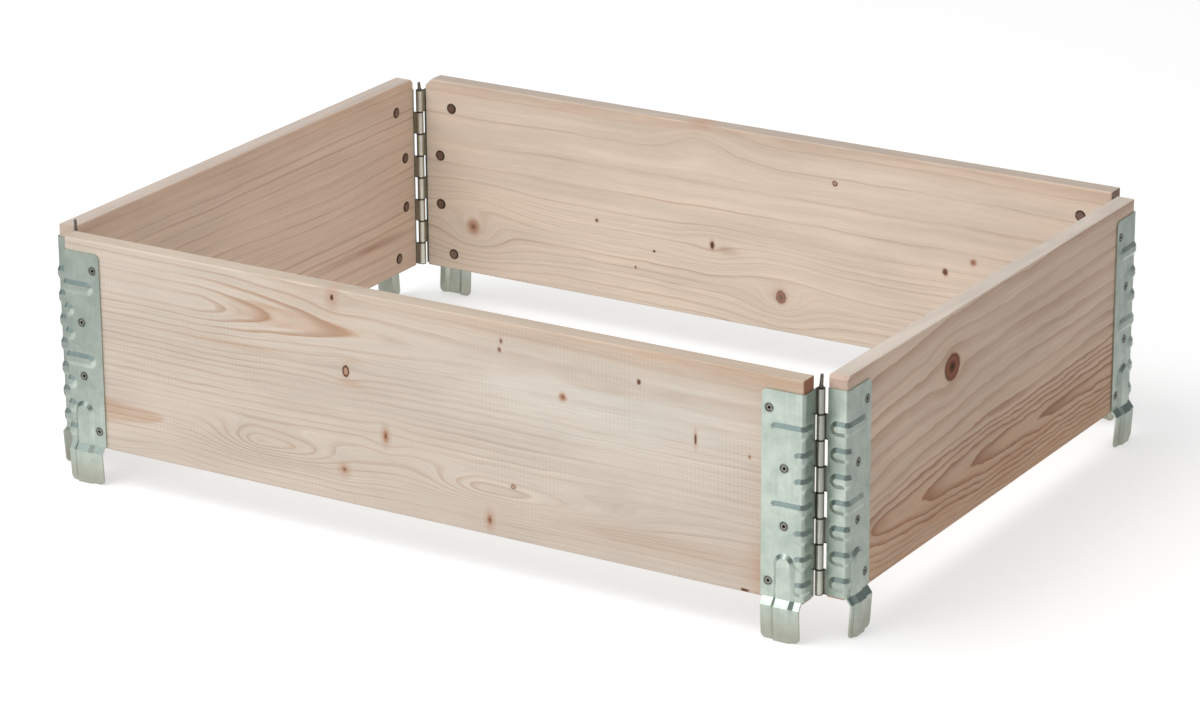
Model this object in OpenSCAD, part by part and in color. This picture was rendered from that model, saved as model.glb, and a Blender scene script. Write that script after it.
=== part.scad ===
// Folding wooden pallet collar: four boards joined at the corners by stamped sheet hinges.
// The collar stands on its eight hinge feet. Millimetres, +X along the long boards, +Z up.
// The origin is the centre of the footprint, at the bottom of the feet.

/* [Collar] */
// Length over the outer faces of the short boards
collar_length = 800; // [500:1:1300]
// Width over the outer faces of the long boards
collar_width = 600; // [400:1:1000]
// Height of the boards
board_height = 195; // [175:1:230]
// Thickness of the boards
board_thickness = 18; // [16:0.5:24]
// Radius of the eased board edges
board_edge_radius = 1.8; // [1.6:0.1:3]
// Corner knocked off the top of the right board's front end
right_front_cut = 3.5; // [0.5:0.5:8]
// Corner knocked off the top of the back board's left end
back_left_cut = 8; // [0.5:0.5:10]
// Corner knocked off the top of the left board's back end
left_back_cut = 5; // [0.5:0.5:10]

/* [Hinge leaf] */
// Thickness of the galvanised sheet
sheet = 1.6; // [1.2:0.1:2]
// Inside radius of the bend round the board's end
bend_radius = 1.5; // [1:0.1:1.6]
// Width of the flange on the board's outer face
flange_width = 38; // [36:0.5:50]
// Radius of the flange's free top corner
flange_corner_radius = 5; // [2:0.5:10]
// Height of bare board above the leaf
leaf_top_margin = 11.5; // [6:0.5:20]
// Height of bare board below the leaf's end flange
leaf_bottom_margin = 2; // [1.5:0.5:4]

/* [Hinge barrel] */
// Diameter of the hinge pin
pin_diameter = 3.8; // [3:0.1:4.2]
// Radial clearance of the pin in the knuckles
pin_clearance = 0.08; // [0.02:0.01:0.1]
// Distance from the plane of the boards' inner faces in to the pin's axis
face_gap = 4.8; // [4.5:0.1:6]
// Axial gap between neighbouring knuckles
knuckle_gap = 0.4; // [0.2:0.1:1]
// Gap between a knuckle and the edge of the other leaf
neck_clearance = 2; // [1.2:0.1:2.5]
// Height of the front left pin above the top knuckle
front_left_stand = 20; // [4:0.5:24]
// Height of the front right pin above the top knuckle
front_right_stand = 11.5; // [4:0.5:24]
// Height of the back right pin above the top knuckle
back_right_stand = 10; // [4:0.5:24]
// Height of the back left pin above the top knuckle
back_left_stand = 7.5; // [4:0.5:24]
// Lean of the pin's bent tip in degrees
pin_lean = 4; // [1:0.5:8]

/* [Stiffening ribs] */
// Width of a rib at its foot
rib_width = 13; // [10:0.5:14]
// Width of a rib at its crest
rib_crest = 5; // [3:0.5:7]
// Height of a rib above the sheet
rib_rise = 1.7; // [1.2:0.1:1.8]
// Straight run of a long rib along the flange
long_rib_run = 22.5; // [16:0.5:26]
// Straight run of a short rib along the flange
short_rib_run = 0.8; // [0.2:0.1:3]
// Bare sheet between a rib's round end and the leaf's edge beside the knuckles
rib_neck_margin = 2.2; // [1:0.1:3]

/* [Foot] */
// Depth of the foot below the boards
foot_drop = 34; // [20:0.5:45]
// Width of the foot
foot_width = 36; // [30:0.5:36]
// Outward step of the foot
joggle_step = 4.5; // [3:0.1:6]
// Height of the step
joggle_height = 6; // [5:0.5:12]
// Inward lean of the foot from the step to its tip
foot_lean = 2; // [0.5:0.1:2.5]
// Radius of the foot's lower corners
foot_corner_radius = 5; // [2:0.5:8]
// Distance from the board's end to the foot's bead
bead_start = 5.8; // [4:0.1:7]
// Width of the bead at its base
bead_width = 20; // [18:0.5:20]
// Width of the bead at its crest
bead_crest = 13; // [10:0.5:15]
// Height of the bead above the sheet
bead_rise = 2.4; // [1.5:0.1:3]

/* [Rivets] */
// Diameter of the flat head on the board's inner face
rivet_head_diameter = 9.6; // [8:0.1:11]
// Height of the head above the board's inner face
rivet_head_proud = 0.6; // [0.3:0.1:0.7]
// Depth of the head sunk into the board
rivet_head_sink = 0.8; // [0.5:0.1:2]
// Diameter of the shank
rivet_shank_diameter = 4.4; // [3.5:0.1:5]
// Diameter of the flared end in the leaf
rivet_flare_diameter = 6.8; // [6:0.1:7.5]
// Depth of the flare
rivet_flare_depth = 1.1; // [0.6:0.1:1.2]
// Diameter of the hollow in the flared end
rivet_hollow_diameter = 2.6; // [1.5:0.1:3]
// Depth of the hollow
rivet_hollow_depth = 5; // [2:0.5:10]
// Gap between a rivet and its hole
rivet_clearance = 0.1; // [0.05:0.05:0.2]
// Distance from the end rivets to the leaf's top and to the boards' bottom
rivet_margin = 16; // [14:0.5:17]
// Distance from the board's end to the top and bottom rivets
outer_rivet_reach = 31; // [30.5:0.5:32]
// Distance from the board's end to the two middle rivets
inner_rivet_reach = 16.7; // [15:0.1:24]

/* [Hidden] */

$fn = 48;
// Overshoot of a cut beyond the surface that it opens
cut = 1;

SPRUCE = [0.86, 0.74, 0.64];
GALVANISED = [0.72, 0.74, 0.70];
PIN_STEEL = [0.55, 0.56, 0.55];
RIVET_STEEL = [0.33, 0.27, 0.24];

// Sides of the collar, counted anticlockwise from the front
FRONT = 0;
RIGHT = 1;
BACK = 2;
LEFT = 3;
// Ends of a board, seen from outside the collar
START = -1;
END = 1;

// Pin axes
pin_x = collar_length / 2 - board_thickness - face_gap;
pin_y = collar_width / 2 - board_thickness - face_gap;

// Heights
board_bottom = foot_drop;
board_top = board_bottom + board_height;
leaf_bottom = board_bottom + leaf_bottom_margin;
leaf_top = board_top - leaf_top_margin;

// One rib run per knuckle, from the top knuckle down; the top knuckle has no rib
rib_runs = [
    undef, long_rib_run, short_rib_run, short_rib_run,
    long_rib_run, short_rib_run, short_rib_run, short_rib_run
];
knuckle_count = len(rib_runs);
knuckle_pitch = (leaf_top - leaf_bottom) / knuckle_count;

// Leaf section, with the pin at the origin, the board along +X and its outer face towards -Y
bore_radius = pin_diameter / 2 + pin_clearance;
barrel_radius = bore_radius + sheet;
// The sheet runs straight along the board's end into the curl round the pin
end_gap = barrel_radius - sheet / 16;
end_face = end_gap - sheet;
outer_face = face_gap + board_thickness;
flange_face = outer_face + sheet;
bend_x = end_gap + bend_radius;
bend_y = bend_radius - outer_face;
bend_outer_radius = bend_radius + sheet;
// Distance from the pin to the leaf's edge where the other leaf's knuckle turns
neck_edge = barrel_radius + neck_clearance;

// Length of the bent tip that is rooted in the straight pin, and its radii as shares of the pin's
pin_tip_root = pin_diameter / 4;
pin_tip_low_share = 0.88;
pin_tip_high_share = 0.72;
pin_stands = [front_left_stand, front_right_stand, back_right_stand, back_left_stand];

// Rivet rows, from the bottom up
rivet_rows = 4;
rivet_low = board_bottom + rivet_margin;
rivet_pitch = (leaf_top - rivet_margin - rivet_low) / (rivet_rows - 1);
rivet_reaches = [outer_rivet_reach, inner_rivet_reach, inner_rivet_reach, outer_rivet_reach];

// Height of the bead's round top, level with the top of the last rib but one
bead_radius = bead_width / 2;
bead_x = end_gap + bead_start + bead_radius;
bead_top = leaf_bottom + 1.5 * knuckle_pitch + rib_width / 2;

// Side view of the foot's outer surface, as outward offset and height, from the flange to the tip
joggle_low = leaf_bottom - joggle_height;
foot_lead = sheet;
foot_path = [
    [0, leaf_bottom + foot_lead],
    [0, leaf_bottom],
    [joggle_step, joggle_low],
    [joggle_step - foot_lean, 0]
];

function board_span(side) = side % 2 == 0 ? 2 * pin_x : 2 * pin_y;
function pin_line(side) = side % 2 == 0 ? pin_y : pin_x;
function knuckle_centre(i) = leaf_top - (i + 0.5) * knuckle_pitch;
function unit(v) = v / norm(v);

// Direction of a stretch of the foot, and the outward direction of the cut between two stretches
function foot_direction(i) = unit(foot_path[i + 1] - foot_path[i]);
function foot_mitre(i) =
    i == 0 || i == len(foot_path) - 1
        ? [1, 0]
        : let (d = foot_direction(i - 1) + foot_direction(i))
          unit([-d.y, d.x]);

// Cross section of the foot, as a hollow-backed bead in a flat sheet
function foot_section() =
    let (
        base = bead_width / 2,
        crest = bead_crest / 2,
        back = sheet / 4,
        left = end_gap - bead_x,
        right = left + foot_width
    )
    [
        [left, 0], [-base, 0], [-crest, bead_rise], [crest, bead_rise], [base, 0], [right, 0],
        [right, -sheet], [base - back, -sheet], [crest - back, bead_rise - sheet],
        [back - crest, bead_rise - sheet], [back - base, -sheet], [left, -sheet]
    ];

// Moves a board's own frame, with the pins on the X axis, to its side of the collar
module on_side(side) {
    rotate([0, 0, 90 * side])
    translate([0, -pin_line(side), 0])
    children();
}

// Moves the leaf frame to one end of a board
module on_end(side, end) {
    on_side(side)
    translate([end * board_span(side) / 2, 0, 0])
    mirror([end == END ? 1 : 0, 0, 0])
    children();
}

// Places children at each rivet, with +Z pointing out of the board from its inner face
module at_rivets() {
    for (row = [0 : rivet_rows - 1])
        translate([end_gap + rivet_reaches[row], -face_gap, rivet_low + row * rivet_pitch])
        rotate([90, 0, 0])
        children();
}

module rounded_rectangle(low, high, radius) {
    for (x = [low.x + radius, high.x - radius], y = [low.y + radius, high.y - radius])
        translate([x, y])
        circle(radius);
    translate([low.x + radius, low.y])
    square([high.x - low.x - 2 * radius, high.y - low.y]);
    translate([low.x, low.y + radius])
    square([high.x - low.x, high.y - low.y - 2 * radius]);
}

// Removes the material outside a round corner whose square corner is at the origin
module corner_round(radius, depth) {
    linear_extrude(depth)
    difference() {
        translate([-cut, -cut])
        square(radius + cut);
        translate([radius, radius])
        circle(radius);
    }
}

// Board with eased edges, its pins' line on the X axis
module board_blank(side) {
    half = board_span(side) / 2 - end_gap;
    intersection() {
        translate([0, 0, board_bottom])
        linear_extrude(board_height)
        rounded_rectangle([-half, -outer_face], [half, -face_gap], board_edge_radius);
        translate([-half, 0, 0])
        rotate([90, 0, 90])
        linear_extrude(2 * half)
        rounded_rectangle([-outer_face, board_bottom], [-face_gap, board_top], board_edge_radius);
    }
}

module rivet_hole() {
    translate([0, 0, -cut])
    cylinder(h = board_thickness + 2 * cut, r = rivet_shank_diameter / 2 + rivet_clearance);
    translate([0, 0, -cut])
    cylinder(h = rivet_head_sink + cut, r = rivet_head_diameter / 2 + rivet_clearance);
}

// Triangular corner knocked off the top of a board's end
module top_corner_cut(size) {
    translate([end_gap, 0, board_top])
    rotate([90, 0, 0])
    linear_extrude(outer_face + cut)
    polygon([[-cut, -size - cut], [-cut, cut], [size + cut, cut]]);
}

module board(side, start_cut = 0, end_cut = 0) {
    color(SPRUCE)
    difference() {
        on_side(side)
        board_blank(side);
        for (end = [START, END])
            on_end(side, end)
            at_rivets()
            rivet_hole();
        if (start_cut > 0)
            on_end(side, START)
            top_corner_cut(start_cut);
        if (end_cut > 0)
            on_end(side, END)
            top_corner_cut(end_cut);
    }
}

// Sheet section from the flange round the bend and along the board's end to the neck
module leaf_section() {
    translate([bend_x, -flange_face])
    square([end_gap + flange_width - bend_x, sheet]);
    intersection() {
        translate([bend_x, bend_y])
        difference() {
            circle(bend_outer_radius);
            circle(bend_radius);
        }
        translate([end_face, -flange_face])
        square(bend_outer_radius);
    }
    translate([end_face, bend_y])
    square([sheet, -neck_edge - bend_y]);
}

// Sheet that goes on past the leaf's edge and curls round the pin
module knuckle_section() {
    difference() {
        union() {
            circle(barrel_radius);
            translate([end_face, -neck_edge - sheet])
            square([sheet, neck_edge + sheet]);
        }
        circle(bore_radius);
    }
}

module knuckle(i) {
    translate([0, 0, knuckle_centre(i) - (knuckle_pitch - knuckle_gap) / 2])
    linear_extrude(knuckle_pitch - knuckle_gap)
    knuckle_section();
}

// Rib swept from a round end on the flange, round the bend, to a round end on the end flange.
// Depths are measured outwards from the sheet's outer surface.
module rib_sweep(run, half_base, half_crest, root, base, crest) {
    flange_end = bend_x + run;
    neck_end = -neck_edge - rib_neck_margin - rib_width / 2;
    section = [
        [root, -half_base], [base, -half_base], [crest, -half_crest],
        [crest, half_crest], [base, half_base], [root, half_base]
    ];
    half_section = [[0, root], [half_base, root], [half_base, base], [half_crest, crest], [0, crest]];
    translate([flange_end, -flange_face, 0])
    rotate([90, 0, 0])
    rotate([0, 0, -90])
    rotate_extrude(angle = 180)
    polygon(half_section);
    translate([bend_x, -flange_face, 0])
    rotate([90, 0, 90])
    linear_extrude(run)
    polygon([for (p = section) [-p.x, p.y]]);
    translate([bend_x, bend_y, 0])
    rotate([0, 0, 180])
    rotate_extrude(angle = 90)
    polygon([for (p = section) [bend_outer_radius + p.x, p.y]]);
    translate([end_face, neck_end, 0])
    rotate([90, 0, 0])
    linear_extrude(neck_end - bend_y)
    polygon([for (p = section) [-p.x, p.y]]);
    translate([end_face, neck_end, 0])
    rotate([0, -90, 0])
    rotate_extrude(angle = 180)
    polygon(half_section);
}

module rib_outside(i) {
    translate([0, 0, knuckle_centre(i)])
    rib_sweep(rib_runs[i], rib_width / 2, rib_crest / 2, -sheet / 2, 0, rib_rise);
}

module rib_hollow(i) {
    back = sheet / 4;
    root = -sheet - min(cut, bend_radius / 2);
    translate([0, 0, knuckle_centre(i)])
    rib_sweep(rib_runs[i], rib_width / 2 - back, rib_crest / 2 - back, root, -sheet, rib_rise - sheet);
}

// Upright bead on the flange above the foot, with a round top
module bead_sweep(low, half_base, half_crest, root, base, crest) {
    top = bead_top - bead_radius;
    translate([bead_x, -flange_face, low])
    linear_extrude(top - low)
    polygon([
        [-half_base, -root], [-half_base, -base], [-half_crest, -crest],
        [half_crest, -crest], [half_base, -base], [half_base, -root]
    ]);
    translate([bead_x, -flange_face, top])
    rotate([90, 0, 0])
    rotate_extrude(angle = 180)
    polygon([[0, root], [half_base, root], [half_base, base], [half_crest, crest], [0, crest]]);
}

module bead_outside() {
    low = leaf_bottom + foot_lead;
    bead_sweep(low, bead_width / 2, bead_crest / 2, -sheet / 2, 0, bead_rise);
}

module bead_hollow() {
    back = sheet / 4;
    low = leaf_bottom - cut;
    bead_sweep(low, bead_width / 2 - back, bead_crest / 2 - back, -sheet - cut, -sheet, bead_rise - sheet);
}

// One straight stretch of the foot, mitred to its neighbours
module foot_stretch(i) {
    reach = 4 * sheet + bead_rise;
    start = foot_path[i];
    stop = foot_path[i + 1];
    direction = foot_direction(i);
    length = norm(stop - start);
    intersection() {
        translate([bead_x, -flange_face - start.x, start.y])
        rotate([-atan2(direction.x, -direction.y), 0, 0])
        translate([0, 0, -length - reach])
        linear_extrude(length + 2 * reach)
        polygon([for (p = foot_section()) [p.x, -p.y]]);
        translate([end_gap, -flange_face, 0])
        rotate([90, 0, 90])
        linear_extrude(foot_width)
        polygon([
            for (p = [
                start - reach * foot_mitre(i), start + reach * foot_mitre(i),
                stop + reach * foot_mitre(i + 1), stop - reach * foot_mitre(i + 1)
            ])
            [-p.x, p.y]
        ]);
    }
}

module foot() {
    depth = sheet + joggle_step + bead_rise + 2 * cut;
    difference() {
        for (i = [0 : len(foot_path) - 2])
            foot_stretch(i);
        translate([end_gap, cut - outer_face, 0])
        rotate([90, 0, 0])
        corner_round(foot_corner_radius, depth);
        translate([end_gap + foot_width, cut - outer_face, 0])
        rotate([90, 0, 0])
        mirror([1, 0, 0])
        corner_round(foot_corner_radius, depth);
    }
}

// Hole and countersink in the leaf for a rivet's flared end
module leaf_rivet_hole() {
    surface = board_thickness + sheet;
    shank = rivet_shank_diameter / 2 + rivet_clearance;
    flare = rivet_flare_diameter / 2 + rivet_clearance;
    translate([0, 0, board_thickness - cut])
    cylinder(h = sheet + 2 * cut, r = shank);
    translate([0, 0, surface - rivet_flare_depth])
    cylinder(h = rivet_flare_depth, r1 = shank, r2 = flare);
}

// Leaf on the START end of a board; first is its topmost knuckle, 0 or 1
module leaf_body(first) {
    difference() {
        union() {
            translate([0, 0, leaf_bottom])
            linear_extrude(leaf_top - leaf_bottom)
            leaf_section();
            for (i = [first : 2 : knuckle_count - 1])
                knuckle(i);
            for (i = [1 : knuckle_count - 1])
                rib_outside(i);
            bead_outside();
        }
        for (i = [1 : knuckle_count - 1])
            rib_hollow(i);
        bead_hollow();
        at_rivets()
        leaf_rivet_hole();
        translate([end_gap + flange_width, cut - outer_face, leaf_top])
        rotate([90, 0, 0])
        rotate([0, 0, 180])
        corner_round(flange_corner_radius, sheet + 2 * cut);
    }
    foot();
}

module leaf(side, end) {
    color(GALVANISED)
    on_end(side, end)
    leaf_body(end == END ? 0 : 1);
}

// Pin at the START end of a board, with a tapered tip bent outwards above the top knuckle
module pin(side) {
    radius = pin_diameter / 2;
    low = knuckle_centre(knuckle_count - 1) - (knuckle_pitch - knuckle_gap) / 2;
    shoulder = leaf_top + radius;
    root = shoulder - pin_tip_root;
    color(PIN_STEEL)
    on_end(side, START) {
        translate([0, 0, low])
        cylinder(h = shoulder - low, r = radius);
        translate([0, 0, root])
        rotate([pin_lean, 0, 0])
        cylinder(
            h = leaf_top + pin_stands[side] - root,
            r1 = pin_tip_low_share * radius,
            r2 = pin_tip_high_share * radius
        );
    }
}

// Semi-tubular rivet: flat head on the board's inner face, flared end in the leaf
module rivet() {
    tip = board_thickness + sheet;
    head = rivet_head_diameter / 2;
    shank = rivet_shank_diameter / 2;
    flare = rivet_flare_diameter / 2;
    hollow = rivet_hollow_diameter / 2;
    ease = rivet_head_proud / 2;
    rotate_extrude()
    polygon([
        [0, -rivet_head_proud],
        [head - 2 * ease, -rivet_head_proud],
        [head, ease - rivet_head_proud],
        [head, rivet_head_sink],
        [shank, rivet_head_sink],
        [shank, tip - rivet_flare_depth],
        [flare, tip],
        [hollow, tip],
        [hollow, tip - rivet_hollow_depth],
        [0, tip - rivet_hollow_depth]
    ]);
}

module rivets(side, end) {
    color(RIVET_STEEL)
    on_end(side, end)
    at_rivets()
    rivet();
}

board(FRONT);  // front_board
board(RIGHT, start_cut = right_front_cut);  // right_board
board(BACK, end_cut = back_left_cut);  // back_board
board(LEFT, start_cut = left_back_cut);  // left_board
leaf(FRONT, START);  // front_board_left_leaf
leaf(FRONT, END);  // front_board_right_leaf
leaf(RIGHT, START);  // right_board_front_leaf
leaf(RIGHT, END);  // right_board_back_leaf
leaf(BACK, START);  // back_board_right_leaf
leaf(BACK, END);  // back_board_left_leaf
leaf(LEFT, START);  // left_board_back_leaf
leaf(LEFT, END);  // left_board_front_leaf
pin(FRONT);  // front_left_hinge_pin
pin(RIGHT);  // front_right_hinge_pin
pin(BACK);  // back_right_hinge_pin
pin(LEFT);  // back_left_hinge_pin
rivets(FRONT, START);  // front_board_left_rivets
rivets(FRONT, END);  // front_board_right_rivets
rivets(RIGHT, START);  // right_board_front_rivets
rivets(RIGHT, END);  // right_board_back_rivets
rivets(BACK, START);  // back_board_right_rivets
rivets(BACK, END);  // back_board_left_rivets
rivets(LEFT, START);  // left_board_back_rivets
rivets(LEFT, END);  // left_board_front_rivets
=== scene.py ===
import math

import bpy
from mathutils import Matrix, Vector


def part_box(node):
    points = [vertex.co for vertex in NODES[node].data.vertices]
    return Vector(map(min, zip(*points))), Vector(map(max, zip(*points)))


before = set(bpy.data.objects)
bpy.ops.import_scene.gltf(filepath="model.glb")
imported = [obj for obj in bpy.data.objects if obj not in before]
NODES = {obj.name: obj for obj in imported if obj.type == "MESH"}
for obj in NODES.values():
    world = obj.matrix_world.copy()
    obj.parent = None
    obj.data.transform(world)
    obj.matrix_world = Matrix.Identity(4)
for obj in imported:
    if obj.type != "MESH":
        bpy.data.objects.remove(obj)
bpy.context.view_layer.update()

# Sizes shared with the construction, in millimetres
MM = 1000.0
FRONT_LOW, FRONT_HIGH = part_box("front_board")
BOARD_BOTTOM = FRONT_LOW[2] * MM
LONG_MIDDLE = (abs(FRONT_LOW[1]) + abs(FRONT_HIGH[1])) / 2 * MM
SHORT_MIDDLE = sum(abs(corner[0]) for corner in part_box("right_board")) / 2 * MM
LEAF_MARGIN = 2.0
BARREL_BOTTOM = BOARD_BOTTOM + LEAF_MARGIN
BARREL_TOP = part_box("front_board_left_leaf")[1][2] * MM
KNUCKLES = 8
RIVET_APART = 5.0
PIN_X, PIN_Y = (sum(corner[i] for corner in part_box("back_right_hinge_pin")) / 2 * MM for i in (0, 1))

# The photograph's camera, from the board corners
EYE = Vector((1.9942, -3.2787, 1.4627))
AIM = Vector((-0.0008, 0.0, 0.0925))
ROLL = math.radians(-0.35)
LENS_MM = 134.42
SENSOR_MM = 36.0

# Studio, in metres, with light levels as the light on a surface turned to the lamp
KEY_DIRECTION = Vector((-0.30, -0.36, 0.88))
KEY_DISTANCE = 4.0
KEY_SIZE = 2.6
KEY_LEVEL = 0.48
FILL_DIRECTION = Vector((-0.30, -0.85, 0.43))
FILL_DISTANCE = 4.5
FILL_SIZE = 3.0
FILL_LEVEL = 0.10
AMBIENT_LEVEL = 0.56
SCREEN_RADIUS = 3.0
SCREEN_FACES = 48
SCREEN_LOW = 0.25
SCREEN_HIGH = 2.35
PANEL_X = -1.2
PANEL_HALF = 0.5
PANEL_FADE = 1.3
WALL_DARK = (0.16, 0.19, 0.2, 1.0)
WALL_PANEL = (0.58, 0.69, 0.75, 1.0)
FLOOR_SIZE = 60.0
FLOOR_GLOW = 0.50
FLOOR_BRIGHT = 0.36
FLOOR_DIM = 0.58
FLOOR_DIMMING = 0.9
FLOOR_PLAIN = (0.80, 0.80, 0.80, 1.0)
FLOOR_SHOWN = (0.60, 0.60, 0.60, 1.0)
WHITE = (1.0, 1.0, 1.0, 1.0)
CAMERA_REACH = 100.0

# Strength of the relief in every material, and the part of the noise that is stretched to its full effect
BUMP_STRENGTH = 0.5
NOISE_SPAN = (0.3, 0.7)

LONG_BOARDS = ("front_board", "back_board")
BOARDS = ("front_board", "right_board", "back_board", "left_board")


def linear(r, g, b):
    """Linear colour of an sRGB colour given in 0 to 255."""
    def channel(v):
        v /= 255.0
        return v / 12.92 if v <= 0.04045 else ((v + 0.055) / 1.055) ** 2.4
    return (channel(r), channel(g), channel(b), 1.0)


class Graph:
    """Short names for the nodes of one shader tree."""

    def __init__(self, tree):
        self.tree = tree

    def node(self, kind, **settings):
        made = self.tree.nodes.new(kind)
        for name, value in settings.items():
            setattr(made, name, value)
        return made

    def feed(self, socket, value):
        if isinstance(value, bpy.types.NodeSocket):
            self.tree.links.new(value, socket)
        else:
            socket.default_value = value

    def math(self, operation, *values):
        made = self.node("ShaderNodeMath", operation=operation)
        for socket, value in zip(made.inputs, values):
            self.feed(socket, value)
        return made.outputs[0]

    def add(self, a, b):
        return self.math("ADD", a, b)

    def sub(self, a, b):
        return self.math("SUBTRACT", a, b)

    def mul(self, a, b):
        return self.math("MULTIPLY", a, b)

    def div(self, a, b):
        return self.math("DIVIDE", a, b)

    def scaled(self, value, low, high, out_low=0.0, out_high=1.0, kind="SMOOTHSTEP"):
        made = self.node("ShaderNodeMapRange", interpolation_type=kind)
        for socket, item in zip(made.inputs, (value, low, high, out_low, out_high)):
            self.feed(socket, item)
        return made.outputs[0]

    def vector(self, x, y, z):
        made = self.node("ShaderNodeCombineXYZ")
        for socket, value in zip(made.inputs, (x, y, z)):
            self.feed(socket, value)
        return made.outputs[0]

    def noise(self, vector, scale=1.0, detail=2.0, roughness=0.5):
        made = self.node("ShaderNodeTexNoise")
        self.feed(made.inputs["Vector"], vector)
        made.inputs["Scale"].default_value = scale
        made.inputs["Detail"].default_value = detail
        made.inputs["Roughness"].default_value = roughness
        return made.outputs["Fac"]

    def mix(self, factor, a, b, blend="MIX"):
        made = self.node("ShaderNodeMix", data_type="RGBA", blend_type=blend)
        self.feed(made.inputs["Factor"], factor)
        self.feed(made.inputs["A"], a)
        self.feed(made.inputs["B"], b)
        return made.outputs["Result"]

    def ramp(self, value, *stops):
        made = self.node("ShaderNodeValToRGB")
        ramp = made.color_ramp
        while len(ramp.elements) < len(stops):
            ramp.elements.new(0.5)
        for element, (position, colour) in zip(ramp.elements, stops):
            element.position = position
            element.color = colour if isinstance(colour, tuple) else (colour, colour, colour, 1.0)
        self.feed(made.inputs["Fac"], value)
        return made.outputs["Color"]

    def bump(self, height, distance):
        made = self.node("ShaderNodeBump")
        made.inputs["Strength"].default_value = BUMP_STRENGTH
        made.inputs["Distance"].default_value = distance
        self.feed(made.inputs["Height"], height)
        return made.outputs["Normal"]


def new_material(name):
    """A material, its graph and its principled shader."""
    material = bpy.data.materials.new(name)
    material.use_nodes = True
    graph = Graph(material.node_tree)
    shader = material.node_tree.nodes["Principled BSDF"]
    return material, graph, shader


def coordinates(graph):
    """X, Y and Z of the surface point in millimetres, in the part's own frame."""
    source = graph.node("ShaderNodeTexCoord").outputs["Object"]
    split = graph.node("ShaderNodeSeparateXYZ")
    graph.feed(split.inputs[0], source)
    return [graph.mul(out, MM) for out in split.outputs]


def spot_group():
    """Node group: distance from a spot's centre in spot radii, and a bell curve over it."""
    tree = bpy.data.node_groups.new("spot", "ShaderNodeTree")
    for name in ("Along", "Across", "Centre along", "Centre across", "Left", "Right", "Half width"):
        tree.interface.new_socket(name, in_out="INPUT", socket_type="NodeSocketFloat")
    for name in ("Distance", "Bell"):
        tree.interface.new_socket(name, in_out="OUTPUT", socket_type="NodeSocketFloat")
    g = Graph(tree)
    given = g.node("NodeGroupInput").outputs
    from_centre = g.sub(given["Along"], given["Centre along"])
    rightward = g.div(from_centre, given["Right"])
    leftward = g.div(g.mul(from_centre, -1.0), given["Left"])
    along = g.math("MAXIMUM", rightward, leftward)
    across = g.div(g.sub(given["Across"], given["Centre across"]), given["Half width"])
    square = g.add(g.mul(along, along), g.mul(across, across))
    result = g.node("NodeGroupOutput")
    g.feed(result.inputs["Distance"], g.math("SQRT", square))
    g.feed(result.inputs["Bell"], g.math("EXPONENT", g.mul(square, -1.0)))
    return tree


# Brown wedges: power of their outline, softness of their edge in millimetres, and where they fade by share of length
WEDGE_TAPER = 0.38
WEDGE_EDGE = 3.0
WEDGE_FADE = (1.0, 1.7)


def wedge_group():
    """Node group: mask of a brown wedge with a rounded tip that points along the board."""
    tree = bpy.data.node_groups.new("wedge", "ShaderNodeTree")
    for name in ("Along", "Across", "Tip along", "Tip across", "Length", "Up", "Down"):
        tree.interface.new_socket(name, in_out="INPUT", socket_type="NodeSocketFloat")
    tree.interface.new_socket("Mask", in_out="OUTPUT", socket_type="NodeSocketFloat")
    g = Graph(tree)
    given = g.node("NodeGroupInput").outputs
    share = g.math("MAXIMUM", g.div(g.sub(given["Tip along"], given["Along"]), given["Length"]), 0.0)
    spread = g.math("POWER", share, WEDGE_TAPER)
    height = g.sub(given["Across"], given["Tip across"])
    under_top = g.sub(g.mul(spread, given["Up"]), height)
    over_bottom = g.add(g.mul(spread, given["Down"]), height)
    inside = g.scaled(g.math("MINIMUM", under_top, over_bottom), 0.0, WEDGE_EDGE)
    faded = g.scaled(share, *WEDGE_FADE, 1.0, 0.0)
    g.feed(g.node("NodeGroupOutput").inputs["Mask"], g.mul(inside, faded))
    return tree


SPOT = spot_group()
WEDGE = wedge_group()

# Wood colours as sRGB
PALE = linear(232, 224, 212)
TAN = linear(200, 160, 128)
ORANGE = linear(206, 160, 120)
LATE = linear(186, 146, 116)
LATE_RED = linear(156, 104, 78)
KNOT_HALO = linear(198, 162, 138)
KNOT_PALE = linear(192, 150, 124)
KNOT_CORE = linear(146, 98, 72)
KNOT_RED = linear(132, 78, 60)
KNOT_RIM = linear(92, 58, 40)
KNOT_EYE = linear(44, 28, 20)

# Kinds of knot: colours from the centre outwards, by share of the radius
KNOT_KINDS = {
    "eye": ((0.0, KNOT_EYE), (0.45, KNOT_RIM), (1.0, KNOT_CORE)),
    "ring": ((0.0, KNOT_PALE), (0.55, KNOT_PALE), (0.72, KNOT_RIM), (1.0, KNOT_RIM)),
    "soft": ((0.0, KNOT_RIM), (0.3, KNOT_CORE), (0.65, KNOT_PALE), (1.0, KNOT_HALO)),
    "cracked": (
        (0.0, KNOT_EYE), (0.22, KNOT_RIM), (0.45, KNOT_RED), (0.6, KNOT_CORE), (0.85, KNOT_RED), (1.0, KNOT_RIM)
    ),
}


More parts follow.
